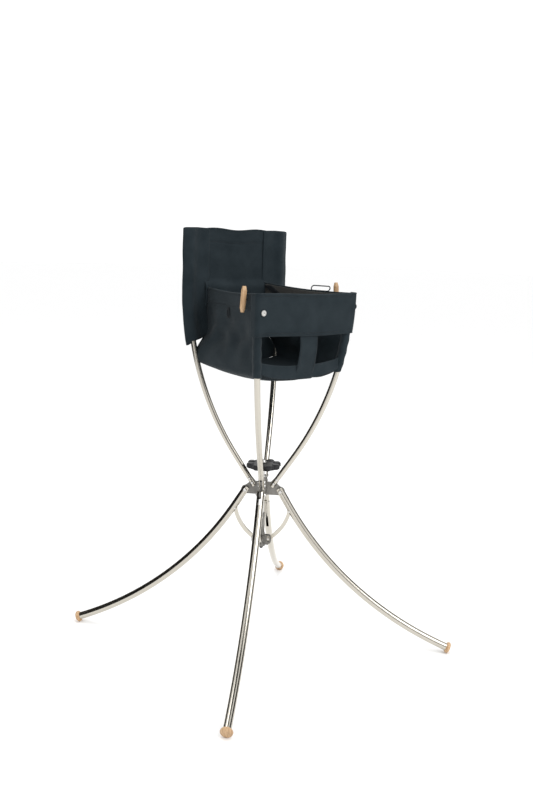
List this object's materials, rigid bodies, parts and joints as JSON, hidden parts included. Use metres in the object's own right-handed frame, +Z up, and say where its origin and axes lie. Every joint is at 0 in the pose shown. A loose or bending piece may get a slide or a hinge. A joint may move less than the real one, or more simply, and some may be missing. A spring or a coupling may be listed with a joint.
{
  "type": "folding four-legged seat stand",
  "caption": "Folding chromed tube stand with a screw-spread leg linkage, and a sewn fabric seat that is open on top, with two leg openings.",
  "frame": {"origin": "on the floor under the spindle's axis", "axes": "+Z up along the spindle, the seat's front faces -Y, and +X is on the right of a person who looks at the front"},
  "size_m": [0.5996, 0.5996, 0.881],
  "materials": {
    "chrome": "polished",
    "hub_metal": "satin",
    "steel": "satin",
    "black_plastic": "matte",
    "wood": "satin",
    "canvas": "matte",
    "lining": "matte",
    "cord": "matte"
  },
  "bodies": {
    "frame": {"hub_boss": "hub_metal", "leg_pivot_bolts": "steel", "arm_bolts": "steel", "arm_plugs": "black_plastic", "web_front_left": "hub_metal", "web_front_right": "hub_metal", "web_rear_right": "hub_metal", "web_rear_left": "hub_metal", "arm_tube_front_left": "chrome", "arm_tube_front_right": "chrome", "arm_tube_rear_right": "chrome", "arm_tube_rear_left": "chrome", "sleeve_front_left": "canvas", "sleeve_front_right": "canvas", "sleeve_rear_right": "canvas", "sleeve_rear_left": "canvas", "back_panel": "canvas", "left_panel": "canvas", "right_panel": "canvas", "front_band": "canvas", "front_lip": "canvas", "seat_base": "canvas", "crotch_strap": "canvas", "toggle_left": "wood", "toggle_right": "wood", "toggle_cords": "cord", "snap_ring": "steel", "band_clip": "cord", "ribbon_loop": "cord", "rim_linings": "lining", "inner_strap": "canvas", "rim_loop": "cord"},
    "leg_front_left": {"leg_tube_front_left": "chrome", "foot_cap_front_left": "wood", "link_pin_front_left": "steel"},
    "link_front_left": {"link_front_left": "chrome", "link_end_pin_front_left": "steel"},
    "leg_front_right": {"leg_tube_front_right": "chrome", "foot_cap_front_right": "wood", "link_pin_front_right": "steel"},
    "link_front_right": {"link_front_right": "chrome", "link_end_pin_front_right": "steel"},
    "leg_rear_right": {"leg_tube_rear_right": "chrome", "foot_cap_rear_right": "wood", "link_pin_rear_right": "steel"},
    "link_rear_right": {"link_rear_right": "chrome", "link_end_pin_rear_right": "steel"},
    "leg_rear_left": {"leg_tube_rear_left": "chrome", "foot_cap_rear_left": "wood", "link_pin_rear_left": "steel"},
    "link_rear_left": {"link_rear_left": "chrome", "link_end_pin_rear_left": "steel"},
    "slider": {"slider_sleeve": "hub_metal", "slider_block": "hub_metal", "slider_cap": "black_plastic"},
    "screw": {"spindle": "steel", "knob": "black_plastic", "knob_nut": "steel", "thrust_rings": "steel"}
  },
  "joints": [
    {"name": "leg_front_left_fold", "type": "hinge", "parent": "frame", "child": "leg_front_left", "pos_m": [-0.02687, -0.02687, 0.3339], "axis": [0.7071, -0.7071, 0], "range_deg": [0, 34]},
    {"name": "link_front_left_swing", "type": "hinge", "parent": "leg_front_left", "child": "link_front_left", "pos_m": [-0.04147, -0.04147, 0.29144], "axis": [0.7071, -0.7071, 0], "range_deg": [-56.1, 0]},
    {"name": "leg_front_right_fold", "type": "hinge", "parent": "frame", "child": "leg_front_right", "pos_m": [0.02687, -0.02687, 0.3339], "axis": [0.7071, 0.7071, 0], "range_deg": [0, 34]},
    {"name": "link_front_right_swing", "type": "hinge", "parent": "leg_front_right", "child": "link_front_right", "pos_m": [0.04147, -0.04147, 0.29144], "axis": [0.7071, 0.7071, 0], "range_deg": [-56.1, 0]},
    {"name": "leg_rear_right_fold", "type": "hinge", "parent": "frame", "child": "leg_rear_right", "pos_m": [0.02687, 0.02687, 0.3339], "axis": [-0.7071, 0.7071, 0], "range_deg": [0, 34]},
    {"name": "link_rear_right_swing", "type": "hinge", "parent": "leg_rear_right", "child": "link_rear_right", "pos_m": [0.04147, 0.04147, 0.29144], "axis": [-0.7071, 0.7071, 0], "range_deg": [-56.1, 0]},
    {"name": "leg_rear_left_fold", "type": "hinge", "parent": "frame", "child": "leg_rear_left", "pos_m": [-0.02687, 0.02687, 0.3339], "axis": [-0.7071, -0.7071, 0], "range_deg": [0, 34]},
    {"name": "link_rear_left_swing", "type": "hinge", "parent": "leg_rear_left", "child": "link_rear_left", "pos_m": [-0.04147, 0.04147, 0.29144], "axis": [-0.7071, -0.7071, 0], "range_deg": [-56.1, 0]},
    {"name": "slider_slide", "type": "slide", "parent": "frame", "child": "slider", "axis": [0, 0, 1], "range_m": [-0.0183, 0]},
    {"name": "spindle_turn", "type": "hinge", "parent": "frame", "child": "screw", "pos_m": [0, 0, 0.3894], "axis": [0, 0, 1], "range_deg": [0, 2186]}
  ],
  "couplings": [
    {"joint": "link_front_left_swing", "follows": "leg_front_left_fold", "ratio": -1.648},
    {"joint": "leg_front_right_fold", "follows": "leg_front_left_fold", "ratio": 1},
    {"joint": "link_front_right_swing", "follows": "leg_front_left_fold", "ratio": -1.648},
    {"joint": "leg_rear_right_fold", "follows": "leg_front_left_fold", "ratio": 1},
    {"joint": "link_rear_right_swing", "follows": "leg_front_left_fold", "ratio": -1.648},
    {"joint": "leg_rear_left_fold", "follows": "leg_front_left_fold", "ratio": 1},
    {"joint": "link_rear_left_swing", "follows": "leg_front_left_fold", "ratio": -1.648},
    {"joint": "slider_slide", "follows": "leg_front_left_fold", "m_per_rad": -0.03067},
    {"joint": "spindle_turn", "follows": "leg_front_left_fold", "ratio": 64.24}
  ]
}
